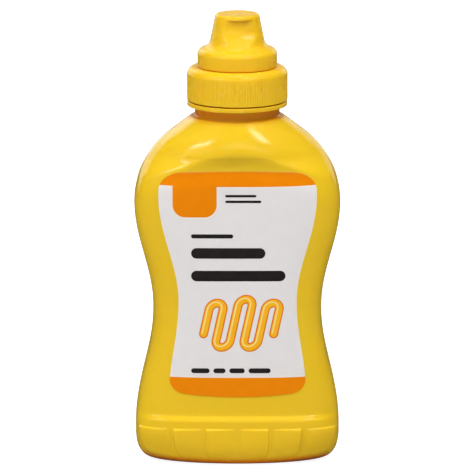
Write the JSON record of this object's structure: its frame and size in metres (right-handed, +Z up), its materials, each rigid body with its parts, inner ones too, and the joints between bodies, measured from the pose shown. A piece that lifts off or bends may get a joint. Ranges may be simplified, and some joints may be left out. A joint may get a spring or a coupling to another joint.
{
  "type": "mustard squeeze bottle",
  "caption": "Waisted plastic squeeze bottle with domed shoulders, ribbed screw collar, tamper ring, shut flip lid with a thumb scoop, and wrapped front and back labels.",
  "frame": {"origin": "middle of the flat base, on the surface that the bottle stands on", "axes": "+Z up through the lid, +X along the width, the front label faces -Y"},
  "size_m": [0.075, 0.0412, 0.1644],
  "materials": {
    "bottle_plastic": "satin gloss moulded plastic, yellow",
    "closure_plastic": "satin moulded plastic, yellow",
    "label": "smooth printed film label, pale grey-white with orange bands"
  },
  "bodies": {
    "root": {"bottle": "bottle_plastic", "tamper_ring": "closure_plastic", "collar": "closure_plastic", "lid": "closure_plastic", "front_label": "label", "back_label": "label"}
  },
  "joints": []
}
